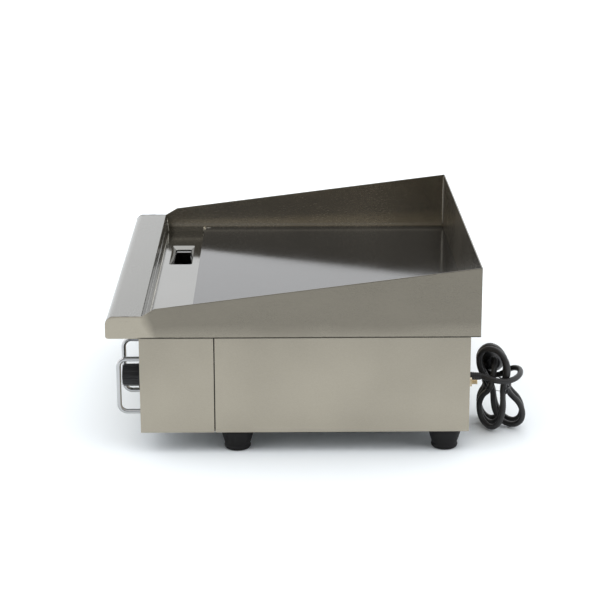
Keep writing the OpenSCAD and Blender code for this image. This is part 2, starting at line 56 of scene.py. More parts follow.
CAMERA_AT = Vector((2.5008, -0.0171, 0.8428))
CAMERA_YAW = math.radians(0.656)
CAMERA_PITCH = math.radians(16.034)
CAMERA_ROLL = math.radians(-0.07)
CAMERA_LENS = 111.87


def make_camera():
    """The viewing angle: from the right-hand side, looking along -X and a little down."""
    look = Vector((
        -math.cos(CAMERA_PITCH) * math.cos(CAMERA_YAW),
        math.cos(CAMERA_PITCH) * math.sin(CAMERA_YAW),
        -math.sin(CAMERA_PITCH),
    ))
    right = look.cross(Vector((0, 0, 1))).normalized()
    up = right.cross(look)
    c, s = math.cos(CAMERA_ROLL), math.sin(CAMERA_ROLL)
    right, up = c * right + s * up, c * up - s * right
    data = bpy.data.cameras.new("camera")
    data.lens = CAMERA_LENS
    data.sensor_width = 36
    data.clip_start, data.clip_end = 0.05, 60
    camera = bpy.data.objects.new("camera", data)
    scene.collection.objects.link(camera)
    turn = Matrix((right, up, -look)).transposed()
    camera.matrix_world = Matrix.Translation(CAMERA_AT) @ turn.to_4x4()
    scene.camera = camera


# ---------- material helpers ----------

class Shader:
    """A Principled material with short calls for its nodes."""

    def __init__(self, name, **values):
        self.material = bpy.data.materials.new(name)
        self.material.use_nodes = True
        self.nodes = self.material.node_tree.nodes
        self.links = self.material.node_tree.links
        self.surface = self.nodes["Principled BSDF"]
        for socket, value in values.items():
            self.surface.inputs[socket.replace("_", " ")].default_value = value

    def add(self, kind, inputs=None, **settings):
        node = self.nodes.new(kind)
        for key, value in settings.items():
            setattr(node, key, value)
        for key, value in (inputs or {}).items():
            self.feed(node.inputs[key], value)
        return node

    def feed(self, socket, value):
        if isinstance(value, bpy.types.NodeSocket):
            self.links.new(value, socket)
        else:
            socket.default_value = value

    def place(self, scale=(1, 1, 1)):
        """Object coordinates, which are the shared frame in metres, stretched by scale."""
        coords = self.add("ShaderNodeTexCoord")
        mapping = self.add("ShaderNodeMapping", {"Vector": coords.outputs["Object"], "Scale": scale})
        return mapping.outputs["Vector"]

    def around(self, noise, reach, low=0.3, high=0.7):
        """Turns the middle range of a noise into a variation of plus or minus reach."""
        return self.spread(noise, -reach, reach, low, high)

    def toned(self, shade, colour, dark, bright):
        """The colour, darkened or brightened by a variation about zero."""
        return self.blend(self.spread(shade, 0, 1, -0.5, 0.5), tone(colour, dark), tone(colour, bright))

    def noise(self, scale, stretch=(1, 1, 1), detail=3, roughness=0.5):
        node = self.add(
            "ShaderNodeTexNoise",
            {"Vector": self.place(stretch), "Scale": scale, "Detail": detail, "Roughness": roughness},
        )
        return node.outputs["Fac"]

    def spread(self, value, low, high, start, end):
        """Maps value from start..end to low..high."""
        node = self.add(
            "ShaderNodeMapRange",
            {"Value": value, "From Min": start, "From Max": end, "To Min": low, "To Max": high},
        )
        return node.outputs["Result"]

    def math(self, a, b, operation="ADD"):
        node = self.add("ShaderNodeMath", operation=operation)
        self.feed(node.inputs[0], a)
        self.feed(node.inputs[1], b)
        return node.outputs[0]

    def blend(self, fac, a, b):
        node = self.add("ShaderNodeMix", data_type="RGBA")
        self.feed(node.inputs["Factor"], fac)
        self.feed(node.inputs["A"], a)
        self.feed(node.inputs["B"], b)
        return node.outputs["Result"]

    def colour(self, value):
        self.feed(self.surface.inputs["Base Color"], value)

    def rough(self, value):
        self.feed(self.surface.inputs["Roughness"], value)

    def bump(self, height, strength, distance=0.0002):
        node = self.add("ShaderNodeBump", {"Height": height, "Distance": distance, "Strength": strength})
        self.feed(self.surface.inputs["Normal"], node.outputs["Normal"])


def tone(colour, factor):
    return tuple(min(1.0, channel * factor) for channel in colour[:3]) + (1.0,)


def steel(name, colour, rough, grain=(1, 40, 40), vary=0.06, bump=0.05):
    """Satin sheet: fine grain along one direction and faint cloudiness."""
    m = Shader(name, Metallic=1.0)
    lines = m.noise(60, grain, detail=6, roughness=0.7)
    clouds = m.noise(7, detail=2)
    m.colour(m.toned(m.math(m.around(lines, vary), m.around(clouds, vary)), colour, 0.6, 1.4))
    m.rough(m.math(m.spread(lines, rough - 0.05, rough + 0.07, 0.3, 0.7), m.around(clouds, 0.03)))
    m.bump(lines, distance=0.0001, strength=bump)
    return m.material


def moulded(name, colour, rough, grain=900, strength=0.15, specular=0.35):
    """Moulded plastic or rubber: a fine texture, with slightly uneven gloss and colour."""
    m = Shader(name, Specular_IOR_Level=specular)
    fine = m.noise(grain, detail=4)
    broad = m.noise(35, detail=3)
    m.colour(m.blend(m.spread(broad, 0, 1, 0.3, 0.7), tone(colour, 0.75), tone(colour, 1.3)))
    m.rough(m.spread(broad, rough - 0.07, rough + 0.09, 0.3, 0.7))
    m.bump(fine, distance=0.0001, strength=strength)
    return m.material


def side_steel(name, colour):
    """Splash guard sheet, in metres: bright where the lip's end was finished by grinding, a painted sheen a
    little along the hem, and a painted shadow at its foot, in the gap where it meets the casing."""
    m = Shader(name, Metallic=1.0)
    lines = m.noise(60, (1, 3, 40), detail=6, roughness=0.7)
    clouds = m.noise(9, (1, 1, 2), detail=3)
    where = m.add("ShaderNodeSeparateXYZ", {"Vector": m.place()}).outputs
    along, height = where["Y"], where["Z"]
    slant = m.spread(height, 0.003, -0.003, 0.154, 0.182)
    edge = m.math(m.math(along, slant, "SUBTRACT"), m.around(clouds, 0.007, 0.35, 0.65))
    lip_end = m.spread(edge, 1.0, 0.0, -0.184, -0.169)
    # Painted sheen: the hem's lower band is brightened, standing in for the reflection it catches.
    hem = m.spread(m.math(height, m.around(clouds, 0.005, 0.35, 0.65)), 0.32, 0.0, 0.157, 0.172)
    shade = m.math(m.around(lines, 0.1), m.around(clouds, 0.09))
    plain = m.toned(shade, colour, 0.6, 1.4)
    # Brighter tone: the lip end's grinding finish, and the painted sheen on the hem.
    ground_and_sheen = m.toned(shade, colour, 1.45, 2.35)
    sheet = m.blend(m.math(lip_end, hem, "MAXIMUM"), plain, ground_and_sheen)
    # Painted shadow: the lowest millimetre of the sheet, behind the lip, is darkened, standing in for the
    # shade in the gap above the casing.
    foot = m.spread(m.math(height, m.around(lines, 0.0004, 0.35, 0.65)), 0.85, 0.0, 0.1544, 0.1554)
    painted_gap_shadow = m.math(foot, m.spread(along, 0, 1, -0.196, -0.19), "MULTIPLY")
    m.colour(m.blend(painted_gap_shadow, sheet, tone(colour, 0.15)))
    m.rough(m.math(m.spread(lines, 0.24, 0.36, 0.3, 0.7), m.around(clouds, 0.04)))
    m.bump(m.math(lines, m.math(clouds, 6.0, "MULTIPLY")), distance=0.0004, strength=0.25)
    return m.material


def casing_steel(name, colour):
    """Casing sheet: level satin grain, and a painted reflection of the floor that makes it a little lighter
    towards the bottom edge.
    """
    m = Shader(name, Metallic=1.0)
    lines = m.noise(60, (1, 8, 60), detail=6, roughness=0.7)
    clouds = m.noise(7, detail=2)
    height = m.add("ShaderNodeSeparateXYZ", {"Vector": m.place()}).outputs["Z"]
    shade = m.math(m.around(lines, 0.13), m.around(clouds, 0.13))
    # Painted reflection: the colour grows lighter towards the bottom edge, standing in for the floor it
    # reflects.
    m.colour(m.toned(m.math(shade, m.spread(height, 0.17, -0.08, 0.03, 0.15)), colour, 0.6, 1.4))
    m.rough(m.math(m.spread(lines, 0.31, 0.43, 0.3, 0.7), m.around(clouds, 0.03)))
    m.bump(lines, strength=0.08)
    return m.material


def ground_plate(name, colour):
    """Ground and polished plate: glossy, with fine lengthwise and crosswise wiping marks."""
    m = Shader(name, Metallic=0.93)
    along = m.noise(70, (1, 45, 1), detail=5, roughness=0.7)
    across = m.noise(50, (30, 1, 1), detail=4, roughness=0.7)
    clouds = m.noise(6, detail=3)
    marks = m.math(m.around(along, 0.17), m.around(across, 0.12))
    m.colour(m.toned(m.math(marks, m.around(clouds, 0.06)), colour, 0.7, 1.3))
    m.rough(m.math(m.spread(clouds, 0.07, 0.12, 0.3, 0.7), m.around(across, 0.02)))
    m.bump(m.math(along, across), distance=0.00005, strength=0.1)
    return m.material


MATERIALS = {}
WARM_STEEL = (0.35, 0.317, 0.258)
LIP_STEEL = (0.335, 0.328, 0.305)


def make_materials():
    MATERIALS.update(
        casing=casing_steel("casing_steel", tone(WARM_STEEL, 0.95)),
        splash=steel("splash_steel", tone(WARM_STEEL, 0.55), grain=(1, 3, 50), rough=0.28, vary=0.12),
        side=side_steel("splash_side_steel", tone(WARM_STEEL, 0.53)),
        inner=steel("splash_inner_steel", tone(WARM_STEEL, 1.0), grain=(1, 3, 50), rough=0.22, vary=0.16),
        lip=steel("lip_steel", tone(LIP_STEEL, 0.62), grain=(1, 60, 60), rough=0.22, vary=0.05),
        trough=steel(
            "trough_steel", (0.25, 0.245, 0.232), grain=(1, 60, 60), rough=0.08, vary=0.05, bump=0.02,
        ),
        plate=ground_plate("plate_steel", (0.115, 0.112, 0.112)),
        weld=steel("weld_bead", (0.62, 0.6, 0.54), grain=(20, 20, 20), rough=0.3, vary=0.15, bump=0.3),
        pan=steel("pan_steel", (0.4, 0.4, 0.39), rough=0.35),
        # Near black: a dark seam line on the lip's ends, and painted shade on the seam strips and the heat
        # shield.
        dark=steel("dark_seam_and_painted_shade", (0.03, 0.028, 0.025), rough=0.5),
        zinc=steel("zinc", (0.6, 0.6, 0.6), rough=0.25),
        chrome=steel("chrome", (0.42, 0.42, 0.42), grain=(1, 1, 1), rough=0.05, vary=0.02),
        brass=steel("brass", (0.6, 0.5, 0.34), grain=(30, 30, 30), rough=0.3),
        dial=steel("dial_metal", (0.6, 0.6, 0.6), rough=0.22),
        sheath=steel("element_sheath", (0.12, 0.13, 0.1), rough=0.55),
        rubber=moulded("foot_rubber", (0.008, 0.0075, 0.0075), rough=0.6, specular=0.2),
        cord=moulded("cord_rubber", (0.021, 0.02, 0.02), rough=0.36, grain=700),
        black=moulded("black_plastic", (0.016, 0.016, 0.017), rough=0.35),
        beige=moulded("switch_plastic", (0.62, 0.6, 0.54), rough=0.5),
        board=moulded("fibre_board", (0.75, 0.74, 0.7), rough=0.95, grain=400, strength=0.6),
        green=moulded("green_lens", (0.02, 0.35, 0.06), rough=0.15),
        amber=moulded("amber_lens", (0.75, 0.3, 0.02), rough=0.15),
        white=moulded("white_mark", (0.8, 0.8, 0.8), rough=0.5),
        # Print on the dial, and painted shade in the screws' cross recesses.
        ink=moulded("dial_ink", (0.02, 0.02, 0.02), rough=0.5),
        red=moulded("red_plastic", (0.5, 0.02, 0.02), rough=0.3),
    )


SLOT_MATERIAL = {
    "casing_steel": "casing", "pan_steel": "pan", "splash_steel": "splash", "lip_steel": "lip",
    "plate_steel": "plate", "element_sheath": "sheath", "zinc_hardware": "zinc", "chrome_rod": "chrome",
    "foot_rubber": "rubber", "fibre_board": "board", "switch_plastic": "beige", "dial_metal": "dial",
    "brass_fitting": "brass", "green_lens": "green", "amber_lens": "amber", "black_plastic": "black",
    "cord_rubber": "cord", "white_mark": "white", "red_plastic": "red",
}


def dress_cad():
    """Each carried-over CAD node takes the material of its slot."""
    for part in frame["record"]["subparts"]:
        node = frame["nodes"][part["node"]]
        material = MATERIALS[SLOT_MATERIAL[part["material_slot"]]]
        node.data.materials.clear()
        node.data.materials.append(material)
    # Painted shade: the seam strips and the heat shield are coloured near black, standing in for the shade in
    # the seam's gap and under the deck.
    for node in ("seam_strips", "heat_shield"):
        frame["nodes"][node].data.materials[0] = MATERIALS["dark"]


# ---------- mesh helpers ----------

def add_piece(name, verts, faces, material, replaced=(), sharp=35):
    """A mesh piece in millimetres, smooth except at its corners, riding on the griddle's body."""
    data = bpy.data.meshes.new(name)
    data.from_pydata([tuple(c * MM for c in v) for v in verts], [], faces)
    mesh = bmesh.new()
    mesh.from_mesh(data)
    bmesh.ops.remove_doubles(mesh, verts=mesh.verts, dist=1e-6)
    bmesh.ops.recalc_face_normals(mesh, faces=mesh.faces)
    mesh.to_mesh(data)
    mesh.free()
    data.shade_smooth()
    data.set_sharp_from_angle(angle=math.radians(sharp))
    data.materials.append(MATERIALS[material])
    new = bpy.data.objects.new(name, data)
    scene.collection.objects.link(new)
    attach(new, ROOT)
    if replaced:
        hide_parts(*replaced)
    return new


def arc_points(cx, cy, r, start, end, step=1.5):
    """Points about step apart on an arc, from one angle in degrees to just before the other."""
    count = max(2, int(abs(math.radians(end - start)) * r / step))
    angles = [math.radians(start + (end - start) * i / count) for i in range(count)]
    return [(cx + r * math.cos(a), cy + r * math.sin(a)) for a in angles]


def grid_faces(rows, columns, base=0, wrap=False):
    """Quads between rows of points; wrap joins the last column to the first."""
    faces = []
    for i in range(rows - 1):
        for j in range(columns if wrap else columns - 1):
            k = (j + 1) % columns
            faces.append((base + i * columns + j, base + i * columns + k,
                          base + (i + 1) * columns + k, base + (i + 1) * columns + j))
    return faces


def lathe(name, profile, at, axis, material, replaced, sides=48):
    """Turns (radius, distance along the axis) pairs about an X or Y axis through the point at."""
    verts = []
    for r, along in profile:
        for k in range(sides):
            a = 2 * math.pi * k / sides
            u, v = r * math.cos(a), r * math.sin(a)
            verts.append((along, at[1] + u, at[2] + v) if axis == "X" else (at[0] + u, along, at[2] + v))
    faces = grid_faces(len(profile), sides, wrap=True)
    return add_piece(name, verts, faces, material, replaced, sharp=30)


def sweep_x(name, outline, x0, x1, material, replaced):
    """A closed (Y, Z) outline carried along X."""
    n = len(outline)
    verts = [(x0, y, z) for y, z in outline] + [(x1, y, z) for y, z in outline]
    return add_piece(name, verts, grid_faces(2, n, wrap=True), material, replaced, sharp=30)


def bead(points, radius, seed, sides=8):
    """Points and faces of an irregular bead of weld laid along a line."""
    verts = []
    count = len(points)
    for i, centre in enumerate(points):
        tangent = (Vector(points[min(i + 1, count - 1)]) - Vector(points[max(i - 1, 0)])).normalized()
        across = tangent.cross(Vector((0.31, 0.43, 0.85))).normalized()
        up = tangent.cross(across)
        taper = math.sin(math.pi * (i + 0.35) / count) ** 0.5
        r = radius * taper * (1 + 0.18 * math.sin(i * 1.9 + seed) + 0.12 * math.sin(i * 4.7 + 2 * seed))
        for k in range(sides):
            a = 2 * math.pi * k / sides
            verts.append(tuple(Vector(centre) + r * (math.cos(a) * across + math.sin(a) * up)))
    caps = [tuple(range(sides)), tuple(range(len(verts) - sides, len(verts)))]
    return verts, grid_faces(count, sides, wrap=True) + caps


def line_between(a, b, step):
    count = max(3, int((Vector(b) - Vector(a)).length / step))
    return [tuple(Vector(a).lerp(Vector(b), i / count)) for i in range(count + 1)]


def joined(name, parts, material):
    """Several (points, faces) sets as one piece."""
    verts, faces = [], []
    for part_verts, part_faces in parts:
        base = len(verts)
        verts += part_verts
        faces += [tuple(i + base for i in face) for face in part_faces]
    return add_piece(name, verts, faces, material)


def slab(low, high):
    """Points and faces of a thin flat bar between two corners."""
    verts = [(x, y, z) for x in (low[0], high[0]) for y in (low[1], high[1]) for z in (low[2], high[2])]
    return verts, [(0, 1, 3, 2), (4, 6, 7, 5), (0, 4, 5, 1), (2, 3, 7, 6), (0, 2, 6, 4), (1, 5, 7, 3)]


def smooth_step(t):
    t = min(1.0, max(0.0, t))
    return t * t * (3 - 2 * t)


# ---------- top ----------

DECK = 153.5
OUTER_X, INNER_X, LIP_X = 275, 273.5, 273.6
# Centres and radii of the lip's upper and lower corner
LIP_Y, LIP_Z, LIP_R = -224, 171, 11
LIP_LOW_Y, LIP_LOW_R = -231.5, 3.5
LIP_FLAT_END = -189.5
# Top edge of the side sheets behind the lip's corner, as (Y, Z): flat, rise to the splash guard, back
TOP_LINE = [(LIP_Y, LIP_Z + LIP_R), (LIP_FLAT_END, LIP_Z + LIP_R), (-172.5, 192), (235, 243)]
# Where the side sheets have a column of points, closer together round the lip's end
SIDE_STATIONS = [
    -235, -234.8, -234.2, -233.2, -231.5, -229, -226.5, -224, -218, -211, -206, -203, -200, -197, -194, -191,
    -189.5, -187, -184, -180, -176, -172.5, -169, -165, -161, -157, -152, -146, -138, -120, -70, -10, 50, 110,
    170, 215, 231, 234.3, 235,
]
# Heights above the foot at which the side sheets have a row of points
SIDE_ROWS = [0, 0.5, 1.5, 4, 7, 9, 10, 11, 13, 15.5]


def side_top(y):
    """Height of the top edge at y."""
    if y < LIP_Y:
        return LIP_Z + math.sqrt(max(0.0, LIP_R ** 2 - (y - LIP_Y) ** 2))
    for (ya, za), (yb, zb) in zip(TOP_LINE, TOP_LINE[1:]):
        if y <= yb:
            return za + (zb - za) * (y - ya) / (yb - ya)
    return TOP_LINE[-1][1]


def side_bottom(y):
    """Height of the foot at y."""
    if y < LIP_LOW_Y:
        return DECK + LIP_LOW_R - math.sqrt(max(0.0, LIP_LOW_R ** 2 - (y - LIP_LOW_Y) ** 2))
    return DECK


def outer_dip(y, rise):
    """How far the outer face lies inside its plane: a soft hem, and a hollow behind the lip's end."""
    behind_lip = smooth_step((y + 180) / 14)
    hem = 0.25 * smooth_step((rise - 3) / 15)
    hollow = 0.6 * math.exp(-(((y + 164) / 11) ** 2))
    return behind_lip * hem + hollow


def inner_rise(y, rise):
    """The inner hem stands a little into the top along the foot of the sheet."""
    return 1.5 * min(1.0, max(0.0, (17.5 - rise) / 7)) * smooth_step((y + 186) / 4)


def make_side(name, node, s):
    """A side sheet of the splash guard with the lip's end; s is 1 on the right and -1 on the left."""
    outer, inner = [], []
    rows = len(SIDE_ROWS) + 6
    for y in SIDE_STATIONS:
        low, high = side_bottom(y), side_top(y)
        tall = high - low
        room = max(0.0, tall - SIDE_ROWS[-1] - 1.6)
        rises = [min(r, tall - 1.6 + 0.01 * r) for r in SIDE_ROWS]
        rises += [rises[-1] + room * f for f in (0.3, 0.65, 1.0)]
        rises += [tall - 0.9, tall - 0.35, tall]
        for i, rise in enumerate(rises):
            rim = 0.5 if i in (0, rows - 1) else 0.12 if i in (1, rows - 2) else 0.0
            if y in (SIDE_STATIONS[0], SIDE_STATIONS[-1]):
                rim = 0.5
            outer.append((s * (OUTER_X - max(rim, outer_dip(y, rise))), y, low + rise))
            inner.append((s * (INNER_X + 0.6 * rim - inner_rise(y, rise)), y, low + rise))
    count = len(SIDE_STATIONS)
    base = len(outer)
    faces = grid_faces(count, rows) + grid_faces(count, rows, base)
    for i in range(count - 1):
        for j in (0, rows - 1):
            a, b = i * rows + j, (i + 1) * rows + j
            faces.append((a, b, base + b, base + a))
    for j in range(rows - 1):
        for a in (j, (count - 1) * rows + j):
            faces.append((a, a + 1, base + a + 1, base + a))
    side = add_piece(name, outer + inner, faces, "side", (node,), sharp=50)
    side.data.materials.append(MATERIALS["inner"])
    for face in side.data.polygons:
        if all(abs(side.data.vertices[i].co.x) < (INNER_X + 0.45) * MM for i in face.vertices):
            face.material_index = 1


def make_lip():
    """The folded front rail; its inner wall has a small step above the trough."""
    front = arc_points(LIP_Y, LIP_Z, LIP_R, 90, 180, 0.8) + [(LIP_Y - LIP_R, LIP_Z)]
    under = arc_points(LIP_LOW_Y, DECK + LIP_LOW_R, LIP_LOW_R, 180, 270, 0.5) + [(LIP_LOW_Y, DECK)]
    wall = [
        (-200, DECK), (-200, DECK + 1.2), (-187.6, DECK + 1.2), (-186.2, 155.1), (-186.6, 156.4),
        (-187.1, 157.6), (-187.4, 167.6), (-187.7, 168.3), (-188.6, 168.9), (-188.8, 169.6), (-189.1, 180.2),
        (-189.4, 181.2), (-190, 181.8), (-190.9, LIP_Z + LIP_R),
    ]
    sweep_x("front_lip_rail", front + under + wall, -LIP_X, LIP_X, "lip", ("front_lip",))


DRAIN = (-133, -158.5)
TROUGH_FLOOR = 155
TROUGH_FRONT, TROUGH_BACK = -187.4, -131
TROUGH_SHEET = 1.2
# Rings of the drain's dish, from the floor down into the mouth: width, length, corner radius, height
DRAIN_RINGS = [
    (110, 35, 5, TROUGH_FLOOR), (108, 33, 4, TROUGH_FLOOR), (107.2, 32.2, 3.8, 154.85),
    (106.4, 31.4, 3.6, 154.4), (98.6, 23.6, 3.2, 150.4), (98, 23, 3, 149.9), (98, 23, 3, 148.6),
]


def rounded_ring(w, l, r, z, per_corner=6):
    """A level rectangle with round corners, centred on the drain."""
    cx, cy = DRAIN
    points = []
    for k, (sx, sy) in enumerate(((1, 1), (-1, 1), (-1, -1), (1, -1))):
        for i in range(per_corner):
            a = math.radians(90 * k + 90 * i / (per_corner - 1))
            x = cx + sx * (w / 2 - r) + r * math.cos(a)
            y = cy + sy * (l / 2 - r) + r * math.sin(a)
            points.append((x, y, z))
    return points


def make_trough():
    """Trough floor with the mouth of the drain pressed down into a dish."""
    mesh = bmesh.new()
    corners = (
        (-LIP_X, TROUGH_FRONT), (LIP_X, TROUGH_FRONT), (LIP_X, TROUGH_BACK), (-LIP_X, TROUGH_BACK),
    )
    outer = [mesh.verts.new((x * MM, y * MM, TROUGH_FLOOR * MM)) for x, y in corners]
    loops = [[mesh.verts.new([c * MM for c in p]) for p in rounded_ring(*ring)] for ring in DRAIN_RINGS]
    edges = [mesh.edges.new((outer[i], outer[(i + 1) % 4])) for i in range(4)]
    n = len(loops[0])
    edges += [mesh.edges.new((loops[0][i], loops[0][(i + 1) % n])) for i in range(n)]
    bmesh.ops.triangle_fill(mesh, use_beauty=True, use_dissolve=False, edges=edges)
    for a, b in zip(loops, loops[1:]):
        for i in range(n):
            j = (i + 1) % n
            mesh.faces.new((a[i], a[j], b[j], b[i]))
    bmesh.ops.recalc_face_normals(mesh, faces=mesh.faces)
    if sum(face.normal.z for face in mesh.faces) < 0:
        bmesh.ops.reverse_faces(mesh, faces=mesh.faces)
    data = bpy.data.meshes.new("trough_floor")
    mesh.to_mesh(data)
    mesh.free()
    for face in data.polygons:
        face.use_smooth = face.normal.z < 0.9999
    data.materials.append(MATERIALS["trough"])
    floor = bpy.data.objects.new("trough_floor", data)
    scene.collection.objects.link(floor)
    thick = floor.modifiers.new("sheet", "SOLIDIFY")
    thick.thickness = TROUGH_SHEET * MM
    thick.offset = -1
    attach(floor, ROOT)
    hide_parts("drain_trough")


def make_welds():
    """Beads at the corners and along the lip's foot: ends, step along the line, radius and seed of each."""
    runs = []
    for s in (-1, 1):
        runs += [
            ((s * 273.1, 233.1, 163), (s * 273.1, 233.1, 240), 1.6, 1.3, 1 + s),
            ((s * 272.6, -131.3, 156), (s * 270, -131.3, 162.2), 1.0, 2.4, 3 + s),
            ((s * 271.5, -130, 161.6), (s * 260, -130.4, 161.4), 1.6, 1.7, 5 + s),
            ((s * 271.5, -130, 161.3), (s * 271, -117, 160.8), 1.6, 0.6, 11 + s),
            ((s * 272.8, -186.3, 156), (s * 272.8, -188.4, 176), 1.4, 1.1, 7 + s),
        ]
    runs.append(((-272, -185.9, 154.9), (272, -185.9, 154.9), 4, 0.75, 9))
    parts = [bead(line_between(a, b, step), radius, seed) for a, b, step, radius, seed in runs]
    joined("corner_welds", parts, "weld")
    seams = []
    for s in (-1, 1):
        line = [(s * INNER_X, y, side_top(y) - 0.1) for y in SIDE_STATIONS if y <= LIP_FLAT_END]
        seams.append(bead(line, 0.42, 2))
    joined("lip_end_seams", seams, "dark")


# ---------- controls ----------

KNOB_X, CONTROLS_Z = 207.5, 84.3
PANEL_Y = -193.5
SCALE_START, SCALE_TURN = 235, 290
SCALE_MARKS, SCALE_NUMBERS = 31, 7
MARK_Y, NUMBER_Y = PANEL_Y - 0.9, PANEL_Y - 0.88
NUMBER_R, NUMBER_SIZE = 25.6, 5.2
# Cross recesses: half the length and half the width of a bar, and the heights of the screw heads
CROSS_LONG, CROSS_HALF = 2.4, 0.55
CASING_SCREW_Z, BASE_SCREW_Z = 144, 26.14


def scale_angle(i, count):
    """Angle of the i-th of count evenly spaced marks on the dial."""
    return math.radians(SCALE_START - i * SCALE_TURN / (count - 1))


def make_dial():
    """Evenly spaced marks, every fifth one longer, and a number from 0 to 300 at each longer one."""
    marks = []
    for i in range(SCALE_MARKS):
        a = scale_angle(i, SCALE_MARKS)
        inner, outer, half = (18.6, 21.6, 0.35) if i % 5 == 0 else (19.4, 21.2, 0.18)
        along, across = Vector((math.cos(a), 0, math.sin(a))), Vector((-math.sin(a), 0, math.cos(a)))
        centre = Vector((KNOB_X, MARK_Y, CONTROLS_Z))
        ends = ((inner, -half), (outer, -half), (outer, half), (inner, half))
        front = [tuple(centre + r * along + w * across) for r, w in ends]
        back = [(x, y + 0.15, z) for x, y, z in front]
        faces = [(0, 1, 2, 3), (7, 6, 5, 4), (0, 4, 5, 1), (1, 5, 6, 2), (2, 6, 7, 3), (3, 7, 4, 0)]
        marks.append((front + back, faces))
    joined("dial_marks", marks, "ink")
    for i in range(SCALE_NUMBERS):
        a = scale_angle(i, SCALE_NUMBERS)
        text = bpy.data.curves.new(f"dial_number_{i}", "FONT")
        text.body = str(i * 50)
        text.size = NUMBER_SIZE * MM
        text.extrude = 0.05 * MM
        text.align_x, text.align_y = "CENTER", "CENTER"
        text.materials.append(MATERIALS["ink"])
        number = bpy.data.objects.new(f"dial_number_{i}", text)
        scene.collection.objects.link(number)
        x, z = KNOB_X + NUMBER_R * math.cos(a), CONTROLS_Z + NUMBER_R * math.sin(a)
        number.location = (x * MM, NUMBER_Y * MM, z * MM)
        number.rotation_euler = (math.radians(90), 0, 0)
        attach(number, ROOT)


def make_lamps():
    """Domed lenses, each in a rolled chrome rim."""
    lens = [
        (0.01, -197.5), (1.5, -197.42), (3, -197.1), (4.2, -196.5), (4.9, -195.7), (5, -195.2), (5, -177),
        (0.01, -177),
    ]
    rim = [(5, -195.4), (5.6, -195.5), (6.4, -195.3), (7, -194.7), (7, PANEL_Y), (5, PANEL_Y), (5, -195.4)]
    for node, x, colour in (("power_lamp", 70, "green"), ("heat_lamp", 105, "amber")):
        lathe(f"{node}_lens", lens, (x, 0, CONTROLS_Z), "Y", colour, (node,))
        lathe(f"{node}_rim", rim, (x, 0, CONTROLS_Z), "Y", "chrome", (node,))


def make_screw_crosses():
    """Dark crosses on the heads of the casing and base screws: painted shade standing in for their cross
    recesses.
    """
    bars = ((CROSS_LONG, CROSS_HALF), (CROSS_HALF, CROSS_LONG))
    parts = []
    for x in (-200, 0, 170):
        for y in (-195.56, 224.64):
            for wide, high in bars:
                low = (x - wide, y, CASING_SCREW_Z - high)
                parts.append(slab(low, (x + wide, y + 0.12, CASING_SCREW_Z + high)))
    base_screws = [(x, y) for x in (-262, 262) for y in (-160, 60)]
    base_screws += [(x, y) for x in (-120, 120) for y in (-182, 212)]
    for x, y in base_screws:
        for wide, deep in bars:
            low = (x - wide, y - deep, BASE_SCREW_Z)
            parts.append(slab(low, (x + wide, y + deep, BASE_SCREW_Z + 0.16)))
    joined("screw_crosses", parts, "ink")


# ---------- lead fittings ----------

EXIT = (197, 245, 76.5)
PLUG_END = (147, 267, 78)
STUD_X, STUD_Z = 246, 85


def make_fittings():
    """The strain relief and the mains plug on the lead, and the threaded bonding stud beside it."""
    sleeve = [
        (3.9, 210.7), (7.8, 210.7), (7.8, 222.7), (11, 222.7), (11, 224.9), (10.3, 225.7), (6.6, 225.7),
        (6.1, 226.4),
    ]
    for i in range(7):
        y, r = 227 + i * 2.5, 6.0 - i * 0.2
        sleeve += [(r, y), (r, y + 1.4), (r - 0.3, y + 1.7), (r - 0.3, y + 2.2)]
    sleeve += [(4.5, 244.6), (4.2, EXIT[1]), (3.8, EXIT[1])]
    lathe("strain_relief", sleeve, EXIT, "Y", "black", ("cord_gland",))
    plug = [
        (0.01, 118), (9, 118), (16.6, 118.1), (17.5, 119), (17.5, 123.6), (16.5, 124.4), (16.5, 126.4),
        (17.5, 127.2), (17.5, 130.6), (16.2, 133), (12.6, 137.6), (10, 140.6), (8.6, 141.6), (8.2, 142.2),
        (9, 142.8), (9, 143.6), (8.1, 144), (8.1, 144.8), (8.9, 145.2), (8.9, 146.6), (8.2, PLUG_END[0]),
        (0.01, PLUG_END[0]),
    ]
    lathe("mains_plug", plug, PLUG_END, "X", "black", ("plug_body",))
    thread = [(2.8, 211.2), (2.8, 227.7)]
    for i in range(9):
        y = 227.7 + i * 0.75
        thread += [(3.0, y + 0.1), (3.0, y + 0.3), (2.62, y + 0.6)]
    thread += [(2.9, 234.5), (2.6, 234.7), (0.01, 234.7)]
    lathe("threaded_stud", thread, (STUD_X, 0, STUD_Z), "Y", "brass", ("bonding_stud",))


# ---------- soft edges on the carried-over sheet parts ----------

# Width in millimetres of the rounding on each node's edges
SOFT_EDGES = {
    "front_housing": 0.35, "rear_casing": 0.6, "splash_back": 0.4, "griddle_plate": 0.7,
    "drawer_front": 0.4, "drawer_tray": 0.3, "thermostat_knob": 0.35, "base_pan": 0.3,
    "thermostat_body": 0.6, "terminal_block": 0.8, "cutout_body": 0.8, "plug_pins": 0.7,
    "casing_screws": 0.5, "base_screws": 0.5, "foot_screws": 0.4, "bonding_nuts": 0.5,
    "clamp_nuts": 0.4, "guard_nuts": 0.4, "reset_button": 0.5, "dial_plate": 0.2,
    "insulation_board": 1.0, "handle_screws": 0.4, "gland_locknut": 0.5, "cutout_nut": 0.4,
}


def soften_edges():
    for node, width in SOFT_EDGES.items():
        bevel = frame["nodes"][node].modifiers.new("soft_edges", "BEVEL")
        bevel.width = width * MM
        bevel.segments = 2
        bevel.limit_method = "ANGLE"
        bevel.angle_limit = math.radians(40)


# ---------- cord ----------

CORD_D = 7.5
CORD_STEP = 3.0
